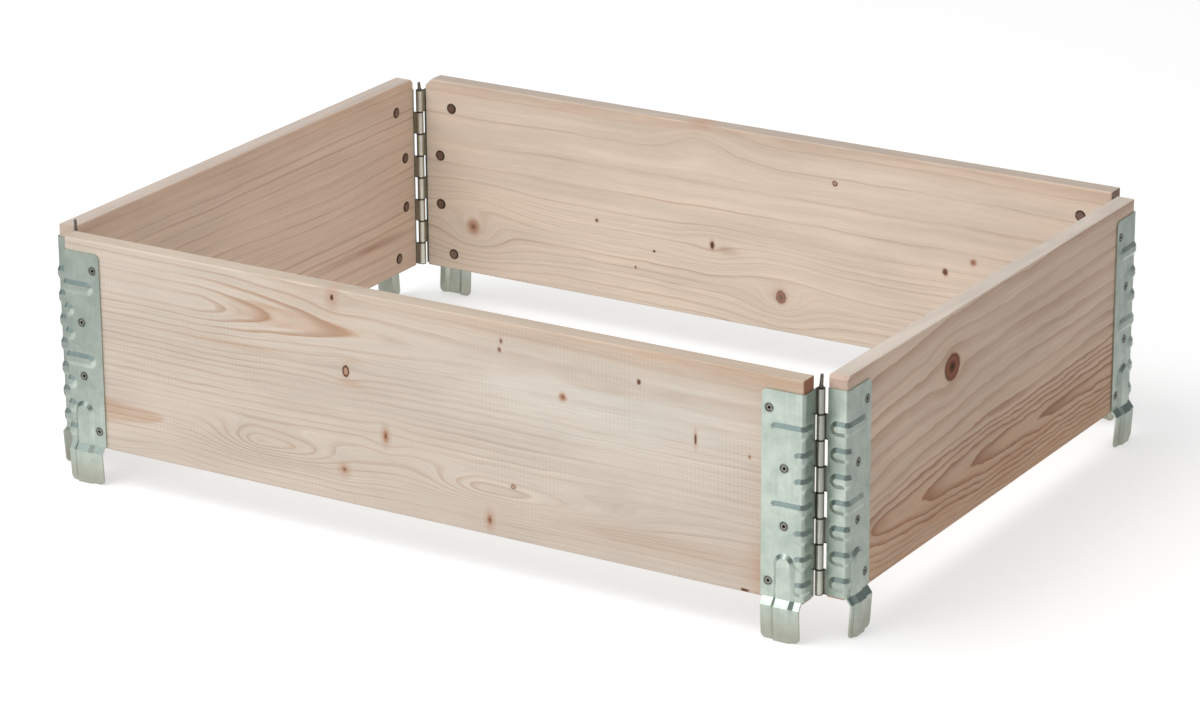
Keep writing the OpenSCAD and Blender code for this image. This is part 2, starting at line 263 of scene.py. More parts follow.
class Board:
    """Figure of one board.

    Places are millimetres along the board from the collar's centre, and across it from its bottom edge.
    early, late, top, end: colours of the earlywood, the latewood, the long edges and the sawn ends; the end colours
    of the front and back boards are painted shade.
    outer: whether the rings are placed on the outer face.
    pith: height of the pith line; depth_far: how far it lies behind the face; depth_near: what is added to that
    at depth_start, which fades over depth_run.
    above, below: ring field per millimetre above and below the pith line; wide_above, wide_rate: height over the
    pith line from which the rings are wider, and the field's rate there.
    spacing, phase: field per ring, and where the first ring starts.
    waviness, ripple: how far long and short bends push the rings.
    strength, upper_strength: how dark the rings are, and the upper half's factor on it.
    axis_strength, axis_reach, axis_fade: how dark they are close to the pith line, how far that reaches, and where
    along the board it sets in.
    onset: share of a ring before it darkens; upper_sharpness: how much thinner the upper half's lines are.
    saw: strength of the saw marks; seed: place in the noise.
    knots: (kind, along, across, half length, half width, spread of the halo, halo strength, darkness).
    bulges: (along, across, left, right, half width, rise of the ring field).
    eyes: (along, across, left, right, half width, how far the rings part).
    stains, washes: (along, across, left, right, half width, colour, strength), under and over the rings.
    wedges: (tip along, tip across, length, up, down, colour, strength).
    clear: (along, across, left, right, half width, strength) where the rings show strongly.
    """

    def __init__(self, **values):
        self.__dict__.update(values)


FIGURES = {
    "front_board": Board(
        # The front board's end colour is painted shade: its ends face sideways, away from the key light
        early=linear(222, 208, 193), late=LATE, top=linear(196, 180, 163), end=linear(150, 94, 68), outer=True,
        pith=157, depth_far=34, depth_near=-34, depth_start=-235, depth_run=110,
        above=1.05, below=1.36, wide_above=60, wide_rate=0.6, spacing=8.5, phase=-0.165, waviness=3.0, ripple=2.6,
        strength=0.6, upper_strength=1.0, axis_strength=0.85, axis_reach=30, axis_fade=(-300, -150),
        onset=0.6, saw=0.024, upper_sharpness=1.0, seed=3.1,
        knots=[
            ("eye", -86.5, 187, 1.8, 3.0, 6.0, 0.6, 0.95), ("ring", -74, 122, 3.5, 5.4, 1.8, 0.3, 1.0),
            ("soft", -34, 70, 3.0, 6.0, 2.6, 0.55, 0.9), ("soft", -78, 31, 3.4, 3.4, 3.2, 0.55, 0.85),
            ("eye", 84.5, 178, 1.4, 2.2, 2.6, 0.4, 0.7), ("eye", 83, 170, 1.7, 2.2, 2.2, 0.4, 0.7),
            ("soft", 145, 139, 3.2, 3.4, 2.0, 0.5, 0.9), ("eye", 219, 166, 1.8, 2.3, 2.4, 0.35, 0.9),
            ("eye", 273, 126, 1.1, 4.6, 3.2, 0.5, 0.9), ("soft", 324, 120, 1.7, 2.0, 2.0, 0.3, 0.8),
            ("ring", 95, 49, 2.5, 2.4, 2.0, 0.35, 0.7), ("soft", 71, 14, 3.0, 5.4, 2.8, 0.55, 0.95),
            ("soft", 84, 197, 5.0, 1.2, 1.8, 0.4, 0.85), ("eye", 320, 2, 4.0, 1.4, 1.8, 0.4, 0.9)
        ],
        bulges=[(-165, 38, 46, 110, 15, -44), (70, 39, 55, 160, 14, -42), (-265, 10, 40, 40, 10, 8)],
        eyes=[
            (-86, 187, 24, 24, 16, 0.8), (-74, 122, 20, 20, 11, 0.8),
            (-34, 70, 18, 18, 12, 0.7), (-78, 31, 24, 24, 14, 0.6)
        ],
        stains=[
            (300, 192, 300, 150, 16, ORANGE, 0.7), (356, 90, 26, 26, 190, ORANGE, 0.5),
            (338, 20, 14, 26, 24, ORANGE, 0.7), (240, 26, 120, 110, 11, TAN, 0.45),
            (-70, 112, 12, 14, 4, ORANGE, 0.5), (-72, 132, 10, 16, 3, ORANGE, 0.4), (-190, 126, 60, 60, 4, TAN, 0.4),
            (-100, 172, 60, 40, 20, TAN, 0.18)
        ],
        wedges=[(-270, 42, 60, 9, 15, TAN, 0.6), (-58, 156, 95, 14, 8, TAN, 0.6), (2, 156, 70, 10, 2, TAN, 0.3)],
        clear=[(-175, 32, 70, 110, 24, 0.7), (50, 40, 70, 90, 18, 0.6), (240, 26, 120, 110, 9, 0.6)],
        washes=[(190, 140, 160, 140, 44, PALE, 1.0), (230, 60, 170, 140, 50, PALE, 0.35)]
    ),
    "right_board": Board(
        early=linear(218, 194, 174), late=LATE_RED, top=linear(214, 204, 193), end=linear(225, 196, 180), outer=True,
        pith=44, depth_far=3, depth_near=30.8, depth_start=-208, depth_run=285,
        above=1.25, below=1.35, wide_above=33, wide_rate=0.34, spacing=6.5, phase=-0.2, waviness=7.0, ripple=7.0,
        strength=0.82, upper_strength=0.85, axis_strength=0.85, axis_reach=42, axis_fade=(-900, -800),
        onset=0.42, saw=0.006, upper_sharpness=1.0, seed=7.7,
        knots=[("cracked", -87, 146, 14.0, 12.0, 1.5, 0.45, 1.0)],
        bulges=[(-208, 46, 25, 30, 8, -6)],
        eyes=[(-87, 146, 34, 34, 26, 0.85)],
        stains=[
            (-215, 46, 30, 22, 9, LATE_RED, 0.45), (-50, 44, 10, 16, 6, LATE_RED, 0.3),
            (0, 16, 600, 600, 52, ORANGE, 0.75), (-87, 146, 30, 30, 26, TAN, 0.2)
        ],
        wedges=[], clear=[], washes=[]
    ),
    "back_board": Board(
        # The back board's end colour is painted shade: its ends face sideways, away from the key light
        early=linear(236, 220, 203), late=LATE, top=linear(185, 172, 160), end=linear(130, 95, 76), outer=False,
        pith=-40, depth_far=60, depth_near=0, depth_start=0, depth_run=200,
        above=1.0, below=1.0, wide_above=134, wide_rate=0.27, spacing=5.8, phase=0.0, waviness=7.0, ripple=2.2,
        strength=0.66, upper_strength=1.25, axis_strength=0.3, axis_reach=20, axis_fade=(-900, -800),
        onset=0.74, saw=0.008, upper_sharpness=2.4, seed=12.3,
        knots=[
            ("soft", -319, 49, 6.4, 6.8, 1.8, 0.6, 0.8), ("eye", -45, 75, 2.3, 3.8, 2.4, 0.5, 0.95),
            ("cracked", 31, 35, 5.5, 6.5, 1.7, 0.5, 0.75), ("eye", 206, 90, 2.8, 3.4, 1.9, 0.4, 0.9),
            ("soft", 235, 104, 3.2, 3.2, 1.8, 0.4, 0.85), ("ring", 88, 158, 2.6, 2.6, 1.9, 0.4, 0.9),
            ("eye", -175, 79, 1.8, 2.0, 2.0, 0.3, 0.8), ("eye", -110, 58, 1.4, 1.5, 2.0, 0.25, 0.9),
            ("eye", -131, 38, 1.3, 1.5, 2.0, 0.25, 0.85), ("soft", -59, 197, 8.0, 2.4, 3.0, 0.6, 0.5)
        ],
        bulges=[(-319, 49, 26, 26, 17, 10), (31, 35, 24, 24, 15, 9), (-59, 178, 40, 50, 26, -5)],
        eyes=[(-319, 49, 52, 56, 34, 0.8), (31, 35, 46, 46, 28, 0.8), (-45, 75, 32, 32, 14, 0.7)],
        stains=[
            (0, 197, 900, 900, 14, TAN, 0.5), (-30, 72, 8, 14, 5, LATE_RED, 0.35), (-336, 49, 14, 12, 12, PALE, 0.5)
        ],
        wedges=[], clear=[], washes=[]
    ),
    "left_board": Board(
        early=linear(232, 208, 188), late=LATE_RED, top=linear(197, 185, 176), end=linear(214, 194, 176), outer=False,
        pith=-60, depth_far=70, depth_near=0, depth_start=0, depth_run=200,
        above=1.0, below=1.0, wide_above=20, wide_rate=0.8, spacing=8.0, phase=0.3, waviness=3.5, ripple=1.6,
        strength=0.48, upper_strength=1.0, axis_strength=0.3, axis_reach=20, axis_fade=(-900, -800),
        onset=0.68, saw=0.004, upper_sharpness=1.4, seed=21.9,
        knots=[],
        bulges=[(120, 100, 150, 150, 30, 8)],
        eyes=[],
        stains=[(195, 41, 75, 55, 5, LATE_RED, 0.6), (0, 195, 900, 900, 20, TAN, 0.35)],
        wedges=[], clear=[], washes=[]
    ),
}


# A face counts as an edge or an end between these shares of its normal
FACING = (0.6, 0.9)
# Noise as (length along the board, length across it, place in the noise), in millimetres
WAVE_NOISE = (170.0, 70.0, 0.0)
RIPPLE_NOISE = (36.0, 11.0, 2.0)
RAGGED_NOISE = (60.0, 8.0, 3.0)
PATCH_NOISE = (150.0, 50.0, 5.0)
KNOT_NOISE = (4.0, 4.0, 7.0)
CLOUD_NOISE = (120.0, 40.0, 9.0)
SAW_NOISE = (90.0, 45.0, 11.0)
# Rings: least depth of the pith, heights between which the upper half begins, how they wander away from the pith,
# how faint a ring or a patch of them may be, how dark a ring is on its way and where it is darkest, and how the
# strong lines close to the pith end
PITH_DEPTH = 2.0
UPPER_HALF = (66.0, 90.0)
WANDER_RATE = 0.4
WANDER_REACH = 1.4
WANDER_FROM = (25.0, 60.0)
RING_LEAST = 0.35
PATCH_LEAST = 0.4
LATE_START = 0.06
LATE_MIDDLE = 0.42
LATE_PEAK = 0.93
AXIS_SOFTNESS = (0.9, 1.2)
AXIS_FAINT = 0.12
# Marks: part of the noise that makes them ragged, and how faint it makes them
RAGGED_SPAN = (0.25, 0.7)
RAGGED_LEAST = 0.45
# Knots, by share of their radius
HALO_START = 0.8
KNOT_EDGE = (0.88, 1.12)


class Grain:
    """Shader nodes shared by the steps of one board's material."""

    def __init__(self, g, name, figure):
        self.g = g
        self.figure = figure
        x, y, z = self.place = coordinates(g)
        is_long = name in LONG_BOARDS
        self.along, self.deep = (x, y) if is_long else (y, x)
        self.across = g.sub(z, BOARD_BOTTOM)
        faces = [abs(corner[1 if is_long else 0]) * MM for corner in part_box(name)]
        self.depth = g.sub(g.math("ABSOLUTE", self.deep), max(faces) if figure.outer else min(faces))
        normal = g.node("ShaderNodeSeparateXYZ")
        g.feed(normal.inputs[0], g.node("ShaderNodeTexCoord").outputs["Normal"])
        self.on_end = g.scaled(g.math("ABSOLUTE", normal.outputs[0 if is_long else 1]), *FACING)
        self.on_edge = g.scaled(g.math("ABSOLUTE", normal.outputs[2]), *FACING)

    def noise(self, along_mm, across_mm, offset, detail=2.0):
        """Noise stretched over the given lengths along and across the board."""
        g = self.g
        place = g.vector(
            g.div(self.along, along_mm), g.div(self.across, across_mm),
            g.add(g.div(self.deep, across_mm), self.figure.seed + offset)
        )
        return g.noise(place, detail=detail)

    def placed(self, tree, *values):
        """Outputs of a node group set to a place on the board."""
        node = self.g.node("ShaderNodeGroup", node_tree=tree)
        for socket, value in zip(node.inputs, (self.along, self.across) + values):
            self.g.feed(socket, value)
        return node.outputs

    def rings(self):
        """Distance from the pith line, bent by noise, parted round the knots and raised by bulges."""
        g, figure = self.g, self.figure
        wave = g.mul(g.sub(self.noise(*WAVE_NOISE, detail=3.0), 0.5), 2.0 * figure.waviness)
        ripple = g.mul(g.sub(self.noise(*RIPPLE_NOISE), 0.5), figure.ripple)
        across = self.across
        for along, height, *size, pull in figure.eyes:
            bell = self.placed(SPOT, along, height, *size)["Bell"]
            across = g.sub(across, g.mul(g.mul(g.sub(self.across, height), bell), pull))
        offset = g.sub(g.add(across, g.add(wave, ripple)), figure.pith)
        near = g.mul(g.math("MINIMUM", offset, float(figure.wide_above)), figure.above)
        beyond = g.math("MAXIMUM", g.sub(offset, float(figure.wide_above)), 0.0)
        far = g.mul(beyond, figure.above * figure.wide_rate)
        height = g.math("MAXIMUM", g.add(near, far), g.mul(offset, -figure.below))
        decay = g.math("EXPONENT", g.div(g.sub(figure.depth_start, self.along), float(figure.depth_run)))
        behind = g.add(g.add(g.mul(decay, float(figure.depth_near)), float(figure.depth_far)), self.depth)
        behind = g.math("MAXIMUM", behind, PITH_DEPTH)
        rings = g.math("SQRT", g.add(g.mul(height, height), g.mul(behind, behind)))
        for *place, rise in figure.bulges:
            rings = g.add(rings, g.mul(self.placed(SPOT, *place)["Bell"], float(rise)))
        return rings

    def latewood(self, rings):
        """Share of latewood: each ring darkens slowly and ends sharply."""
        g, figure = self.g, self.figure
        phase = g.add(g.div(rings, float(figure.spacing)), figure.phase)
        wander = g.noise(g.vector(g.mul(phase, WANDER_RATE), figure.seed, 0.0), detail=1.0)
        wander = g.mul(g.sub(wander, 0.5), WANDER_REACH)
        phase = g.add(phase, g.mul(wander, g.scaled(rings, *WANDER_FROM)))
        sharpness = g.scaled(self.across, *UPPER_HALF, 1.0, figure.upper_sharpness)
        profile = g.ramp(
            g.math("POWER", g.math("FRACT", phase), sharpness), (0.0, 0.0), (figure.onset, LATE_START),
            (0.4 + 0.5 * figure.onset, LATE_MIDDLE), (LATE_PEAK, 1.0), (1.0, 0.0)
        )
        ring = g.node("ShaderNodeTexWhiteNoise", noise_dimensions="1D")
        g.feed(ring.inputs["W"], g.add(g.math("FLOOR", phase), figure.seed))
        ring_strength = g.scaled(ring.outputs["Value"], 0.0, 1.0, RING_LEAST, 1.0, "LINEAR")
        patch = g.scaled(self.noise(*PATCH_NOISE), *NOISE_SPAN, PATCH_LEAST, 1.0)
        strength = g.scaled(self.across, *UPPER_HALF, figure.strength, figure.strength * figure.upper_strength)
        lesser = g.mul(g.mul(ring_strength, patch), strength)
        reach = (softness * figure.axis_reach for softness in AXIS_SOFTNESS)
        axis = g.scaled(rings, *reach, figure.axis_strength, 0.0)
        axis = g.mul(axis, g.scaled(self.along, *figure.axis_fade, AXIS_FAINT))
        share = g.math("MAXIMUM", lesser, axis)
        for *place, strength in figure.clear:
            share = g.math("MAXIMUM", share, g.mul(self.placed(SPOT, *place)["Bell"], strength))
        return g.mul(profile, share)

    def tinted(self, colour, tree, output, marks):
        """Lays marks over the colour, ragged along the grain."""
        g = self.g
        ragged = g.scaled(self.noise(*RAGGED_NOISE), *RAGGED_SPAN, RAGGED_LEAST, 1.0)
        for *place, tint, strength in marks:
            mark = g.mul(self.placed(tree, *place)[output], ragged)
            colour = g.mix(g.mul(mark, strength), colour, tint)
        return colour

    def knots(self, colour):
        """Lays the knots over the colour, each with a halo round it."""
        g = self.g
        ragged = g.mul(g.sub(self.noise(*KNOT_NOISE), 0.5), 2.0)
        for kind, along, across, length, width, spread, halo, darkness in self.figure.knots:
            distance = self.placed(SPOT, along, across, length, length, width)["Distance"]
            distance = g.add(distance, g.div(ragged, width))
            colour = g.mix(g.mul(g.scaled(distance, HALO_START, spread, 1.0, 0.0), halo), colour, KNOT_HALO)
            core = g.ramp(distance, *KNOT_KINDS[kind])
            colour = g.mix(g.mul(g.scaled(distance, *KNOT_EDGE, 1.0, 0.0), darkness), colour, core)
        return colour


# Fibres, streaks and saw marks, in millimetres, and the parts of their noise that show
FIBRE_LENGTH = 24.0
FIBRE_WIDTH = 0.9
STREAK_LENGTH = 240.0
STREAK_WIDTH = 1.7
SAW_PITCH = 3.7
SAW_WANDER = 1.5
SAW_SPAN = (0.42, 0.62)
FIBRE_SPAN = (0.25, 0.75)
# Tone that the clouds, fibres and streaks give the wood, from their darkest to their lightest
CLOUD_TONE = (0.955, 1.04)
FIBRE_TONE = (0.95, 1.04)
STREAK_TONE = (0.93, 1.045)
# How far the long edges and the ends take their own colours
EDGE_TINT = 0.8
END_TINT = 0.85
# Dark ring on the wood round a rivet's head: its two radii in millimetres, and its strength
WOOD_RING = (5.0, 5.7)
WOOD_RING_STRENGTH = 0.85
# Surface of the wood: roughness of earlywood and latewood, shine, shares in the relief, and its depth in metres
WOOD_ROUGHNESS = (0.7, 0.55)
WOOD_SHINE = 0.25
FIBRE_RELIEF = 0.5
LATE_RELIEF = 0.3
SAW_RELIEF = 0.12
WOOD_RELIEF = 0.0003


def wood_tone(grain, rings):
    """Tone of the sawn wood, with its fibres and saw marks."""
    g, figure = grain.g, grain.figure
    along, across, deep = grain.along, grain.across, grain.deep
    fibre = g.vector(g.div(along, FIBRE_LENGTH), g.div(across, FIBRE_WIDTH), g.div(deep, FIBRE_WIDTH))
    fibre = g.noise(fibre, detail=3.0)
    streak = g.noise(g.vector(g.div(rings, STREAK_WIDTH), g.div(along, STREAK_LENGTH), figure.seed))
    cloud = g.scaled(grain.noise(*CLOUD_NOISE, detail=3.0), *NOISE_SPAN, *CLOUD_TONE)
    saw = g.math("SINE", g.add(g.mul(along, 2.0 * math.pi / SAW_PITCH), g.mul(fibre, SAW_WANDER)))
    saw = g.mul(saw, g.scaled(grain.noise(*SAW_NOISE), *SAW_SPAN))
    tone = g.mul(cloud, g.scaled(fibre, *FIBRE_SPAN, *FIBRE_TONE, "LINEAR"))
    tone = g.mul(tone, g.scaled(streak, *NOISE_SPAN, *STREAK_TONE, "LINEAR"))
    return g.add(tone, g.mul(saw, figure.saw)), fibre, saw


def wood_material(name, figure):
    """Sawn spruce: growth rings about a pith line, stains, fibres, saw marks and knots."""
    material, g, shader = new_material(name)
    grain = Grain(g, name, figure)
    rings = grain.rings()
    late = grain.latewood(rings)
    colour = grain.tinted(figure.early, SPOT, "Bell", figure.stains)
    colour = grain.tinted(colour, WEDGE, "Mask", figure.wedges)
    colour = g.mix(late, colour, figure.late)
    colour = grain.tinted(colour, SPOT, "Bell", figure.washes)

    tone, fibre, saw = wood_tone(grain, rings)
    grey = g.node("ShaderNodeCombineColor")
    for socket in grey.inputs:
        g.feed(socket, tone)
    colour = g.mix(g.mul(grain.on_edge, EDGE_TINT), colour, figure.top)
    colour = g.mix(g.mul(grain.on_end, END_TINT), colour, figure.end)
    colour = g.mix(1.0, colour, grey.outputs[0], "MULTIPLY")
    colour = grain.knots(colour)
    for rivets in (node for node in NODES if node.startswith(name) and node.endswith("_rivets")):
        from_rivet = rivet_distance(g, rivets, grain.place)
        colour = g.mix(g.scaled(from_rivet, *WOOD_RING, WOOD_RING_STRENGTH, 0.0), colour, RIVET_DARK)

    g.feed(shader.inputs["Base Color"], colour)
    g.feed(shader.inputs["Roughness"], g.scaled(late, 0.0, 1.0, *WOOD_ROUGHNESS, "LINEAR"))
    shader.inputs["Specular IOR Level"].default_value = WOOD_SHINE
    relief = g.add(g.mul(late, LATE_RELIEF), g.mul(saw, SAW_RELIEF))
    relief = g.add(g.mul(fibre, FIBRE_RELIEF), relief)
    g.feed(shader.inputs["Normal"], g.bump(relief, WOOD_RELIEF))
    return material


# Metal colours as sRGB
ZINC = (207, 217, 207)
ZINC_DULL = (184, 197, 187)
ZINC_WORN = linear(212, 206, 194)
# Painted shade for the zinc beside the hinge barrel and round the rivets
PAINTED_SHADE = linear(80, 90, 85)
# Painted shade in the gaps between the knuckles
GAP_SHADE = linear(46, 42, 38)
FOOT_SOIL = linear(160, 154, 138)
PIN_STEEL = linear(176, 172, 162)
RIVET_ZINC = linear(164, 164, 156)
RIVET_BROWN = linear(142, 118, 106)
RIVET_DARK = linear(62, 50, 42)
# Tone of each leaf's zinc
LEAF_TONES = {
    "front_board_left_leaf": 0.95, "front_board_right_leaf": 0.97, "right_board_front_leaf": 0.97,
    "right_board_back_leaf": 0.88, "back_board_right_leaf": 0.95, "back_board_left_leaf": 0.9,
    "left_board_back_leaf": 0.93, "left_board_front_leaf": 0.85
}


def along_axis(name):
    """Index of the axis that a board runs along."""
    return 0 if name.startswith(("front", "back")) else 1


def rivet_distance(g, name, place):
    """Distance in millimetres from the axis of the nearest rivet of a node."""
    axis = along_axis(name)
    points = sorted((v.co.z * MM, v.co[axis] * MM) for v in NODES[name].data.vertices)
    rivets = [[points[0]]]
    for point in points[1:]:
        if point[0] - rivets[-1][-1][0] > RIVET_APART:
            rivets.append([])
        rivets[-1].append(point)
    nearest = None
    for rivet in rivets:
        up, along = ((min(values) + max(values)) / 2 for values in zip(*rivet))
        node = g.node("ShaderNodeGroup", node_tree=SPOT)
        for socket, value in zip(node.inputs, (place[axis], place[2], along, up, 1.0, 1.0, 1.0)):
            g.feed(socket, value)
        distance = node.outputs["Distance"]
        nearest = distance if nearest is None else g.math("MINIMUM", nearest, distance)
    return nearest


# Zinc: noise as (scale per millimetre, detail, roughness), spangles per millimetre, streaks in millimetres, shares of
# these patterns in its shine, the shine's span, and the relief's depth in metres
ZINC_CLOUD = (0.045, 4.0, 0.55)
ZINC_GRAIN = (0.9, 3.0, 0.6)
ZINC_SPANGLE = 0.16
ZINC_STREAK_WIDTH = 2.5
ZINC_STREAK_LENGTH = 40.0
CLOUD_SHARE = 0.66
SPANGLE_SHARE = 0.1
STREAK_SHARE = 0.24
SHINE_SPAN = (0.3, 0.72)
ZINC_ROUGHNESS = (0.38, 0.25)
ZINC_RELIEF = 0.00012
# Wear, painted shade and soil on the leaves: radii of the painted shade ring round a rivet and heights of the soil on
# the foot, in millimetres
BARREL_WEAR = 0.7
SIDE_SHADE_SPAN = (0.5, 0.85)
SHADE_RING_START = (3.1, 3.5)
SHADE_RING_END = (3.8, 5.0)
SHADE_RING_SPAN = (0.35, 0.65)
SHADE_RING = (0.35, 0.8)
FOOT_SOIL_HEIGHTS = (6.0, 36.0)
FOOT_SOIL_STRENGTH = 0.6


def zinc_patterns(g, place, x, y, z):
    """Shine of galvanised sheet, made of clouds, spangle and rolling streaks, and the streaks alone."""
    cloud = g.noise(place, *ZINC_CLOUD)
    spangle = g.node("ShaderNodeTexVoronoi")
    g.feed(spangle.inputs["Vector"], place)
    spangle.inputs["Scale"].default_value = ZINC_SPANGLE
    spangle_tone = g.node("ShaderNodeSeparateColor")
    g.feed(spangle_tone.inputs[0], spangle.outputs["Color"])
    streak = g.vector(g.div(x, ZINC_STREAK_WIDTH), g.div(y, ZINC_STREAK_WIDTH), g.div(z, ZINC_STREAK_LENGTH))
    streak = g.noise(streak, detail=3.0)
    shine = g.add(g.mul(spangle_tone.outputs[0], SPANGLE_SHARE), g.mul(streak, STREAK_SHARE))
    return g.add(g.mul(cloud, CLOUD_SHARE), shine), streak


def zinc_material(name, tone):
    """Galvanised sheet: faint spangle, cloudy patches, rolling streaks, and painted shade beside the hinge barrel."""
    material, g, shader = new_material(name)
    x, y, z = coordinates(g)
    place = g.vector(x, y, z)
    shine, streak = zinc_patterns(g, place, x, y, z)
    bright, dull = ([v * tone for v in linear(*shade)[:3]] + [1.0] for shade in (ZINC, ZINC_DULL))
    colour = g.mix(g.scaled(shine, *SHINE_SPAN), dull, bright)
    barrel, sides, gaps = barrel_wear_and_shade(g, x, y, z)
    colour = g.mix(g.mul(barrel, BARREL_WEAR), colour, ZINC_WORN)
    # Painted shade on the flanges beside the barrel, patchy along the rolling streaks
    colour = g.mix(g.mul(sides, g.scaled(streak, *NOISE_SPAN, *SIDE_SHADE_SPAN)), colour, PAINTED_SHADE)
    # Painted shade in the gaps between the knuckles
    colour = g.mix(gaps, colour, GAP_SHADE)
    # Painted shade: a dark ring on the sheet round each rivet's flare
    from_rivet = rivet_distance(g, name.replace("_leaf", "_rivets"), (x, y, z))
    ring = g.mul(g.scaled(from_rivet, *SHADE_RING_START), g.scaled(from_rivet, *SHADE_RING_END, 1.0, 0.0))
    colour = g.mix(g.mul(ring, g.scaled(streak, *SHADE_RING_SPAN, *SHADE_RING)), colour, PAINTED_SHADE)
    colour = g.mix(g.scaled(z, *FOOT_SOIL_HEIGHTS, FOOT_SOIL_STRENGTH, 0.0), colour, FOOT_SOIL)
    g.feed(shader.inputs["Base Color"], colour)
    shader.inputs["Metallic"].default_value = 1.0
    g.feed(shader.inputs["Roughness"], g.scaled(shine, *SHINE_SPAN, *ZINC_ROUGHNESS))
    grain = g.noise(place, *ZINC_GRAIN)
    g.feed(shader.inputs["Normal"], g.bump(grain, ZINC_RELIEF))
    return material


# Wear of the hinge barrel and painted shade beside it, by distance from the pin in millimetres; the painted shade in
# the gaps by share of a knuckle
SIDES_REACH = 20.0
SIDES_PROFILE = ((0.1, 0.0), (0.17, 1.0), (0.26, 0.55), (0.42, 0.12), (0.8, 0.0))
SIDES_FADE = (14.0, 26.0)
GAP_SPAN = (0.02, 0.06)
GAP_STRENGTH = 0.9
GAP_FADE = (4.5, 6.0)
BARREL_FADE = (5.0, 6.5)


def barrel_wear_and_shade(g, x, y, z):
    """Masks of the worn barrel, of the painted shade on its sides and beside it, and of the painted shade between the
    knuckles.
    """
    from_x = g.sub(g.math("ABSOLUTE", x), PIN_X)
    from_y = g.sub(g.math("ABSOLUTE", y), PIN_Y)
    aside = g.mul(g.math("ABSOLUTE", g.sub(from_x, from_y)), math.sqrt(0.5))
    reach = g.math("SQRT", g.add(g.mul(from_x, from_x), g.mul(from_y, from_y)))
    sides = g.ramp(g.div(aside, SIDES_REACH), *SIDES_PROFILE)
    sides = g.mul(sides, g.scaled(reach, *SIDES_FADE, 1.0, 0.0))
    knuckle = g.div(g.sub(z, BARREL_BOTTOM), (BARREL_TOP - BARREL_BOTTOM) / KNUCKLES)
    to_gap = g.math("ABSOLUTE", g.sub(knuckle, g.math("ROUND", knuckle)))
    gaps = g.mul(g.scaled(to_gap, *GAP_SPAN, GAP_STRENGTH, 0.0), g.scaled(reach, *GAP_FADE, 1.0, 0.0))
    return g.scaled(reach, *BARREL_FADE, 1.0, 0.0), sides, gaps


# Pins: width and height of the rub marks in millimetres, and roughness from dull to rubbed
RUB_WIDTH = 3.0
RUB_HEIGHT = 0.8
PIN_ROUGHNESS = (0.5, 0.3)


def pin_material():
    """Drawn wire with rub marks round it."""
    material, g, shader = new_material("pin_steel")
    x, y, z = coordinates(g)
    rub = g.noise(g.vector(g.div(x, RUB_WIDTH), g.div(y, RUB_WIDTH), g.div(z, RUB_HEIGHT)), detail=3.0)
    g.feed(shader.inputs["Base Color"], g.mix(rub, RIVET_DARK, PIN_STEEL))
    shader.inputs["Metallic"].default_value = 1.0
    g.feed(shader.inputs["Roughness"], g.scaled(rub, *NOISE_SPAN, *PIN_ROUGHNESS))
    return material


# Rivets: noise as for the zinc, a radius in millimetres and the colours of head and flare by share of it, with
# painted shade in the flare's hollow and on both rims, the ragged edge, how far from the board's middle the two ends
# part, and wear
WEAR_NOISE = (0.55, 4.0, 0.6)
RIVET_EDGE_NOISE = (0.4, 2.0)
RIVET_RADIUS = 5.0
RIVET_RAGGED = 1.6
RIVET_PARTING = 1.0
WEAR_SPAN = (0.45, 0.7)
# The dark rims of head and flare, and the dark middle of the flare's hollow, are painted shade
HEAD_RINGS = ((0.0, RIVET_BROWN), (0.72, RIVET_BROWN), (0.84, RIVET_DARK), (1.0, RIVET_DARK))
FLARE_RINGS = ((0.24, RIVET_DARK), (0.32, RIVET_ZINC), (0.52, RIVET_ZINC), (0.6, RIVET_DARK))
RIVET_WEAR = 0.5
RIVET_METAL = 0.8
RIVET_ROUGHNESS = (0.6, 0.36)


def rivet_material(name):
    """Rivets: a hollow zinc ring at the flared outer end, a browned head inside the collar, both with dark rims of
    painted shade.
    """
    material, g, shader = new_material(name)
    place = coordinates(g)
    wear = g.noise(g.vector(*place), *WEAR_NOISE)
    ragged = g.mul(g.sub(g.noise(g.vector(*place), *RIVET_EDGE_NOISE), 0.5), RIVET_RAGGED)
    from_axis = g.div(g.add(rivet_distance(g, name, place), ragged), RIVET_RADIUS)
    middle = LONG_MIDDLE if along_axis(name) == 0 else SHORT_MIDDLE
    from_centre = g.math("ABSOLUTE", place[1 - along_axis(name)])
    outside = g.scaled(from_centre, middle - RIVET_PARTING, middle + RIVET_PARTING)
    colour = g.mix(outside, g.ramp(from_axis, *HEAD_RINGS), g.ramp(from_axis, *FLARE_RINGS))
    colour = g.mix(g.scaled(wear, *WEAR_SPAN, 0.0, RIVET_WEAR), colour, RIVET_DARK)
    g.feed(shader.inputs["Base Color"], colour)
    shader.inputs["Metallic"].default_value = RIVET_METAL
    g.feed(shader.inputs["Roughness"], g.scaled(wear, *NOISE_SPAN, *RIVET_ROUGHNESS))
    return material


def paint(obj, material):
    """Gives an object one material."""
    obj.data.materials.clear()
    obj.data.materials.append(material)


def dress_nodes():
    """Gives every node of the construction its finish."""
    pin = pin_material()
    for name, obj in NODES.items():
        if name in BOARDS:
            paint(obj, wood_material(name, FIGURES[name]))
        elif name.endswith("_leaf"):
            paint(obj, zinc_material(name, LEAF_TONES[name]))
        elif name.endswith("_pin"):
            paint(obj, pin)
        else:
            paint(obj, rivet_material(name))


def seen_ray(graph):
    """1 for the rays that show the background: camera, glossy and transmission rays."""
    path = graph.node("ShaderNodeLightPath").outputs
    seen = graph.math("MAXIMUM", path["Is Camera Ray"], path["Is Glossy Ray"])
    return graph.math("MAXIMUM", seen, path["Is Transmission Ray"])


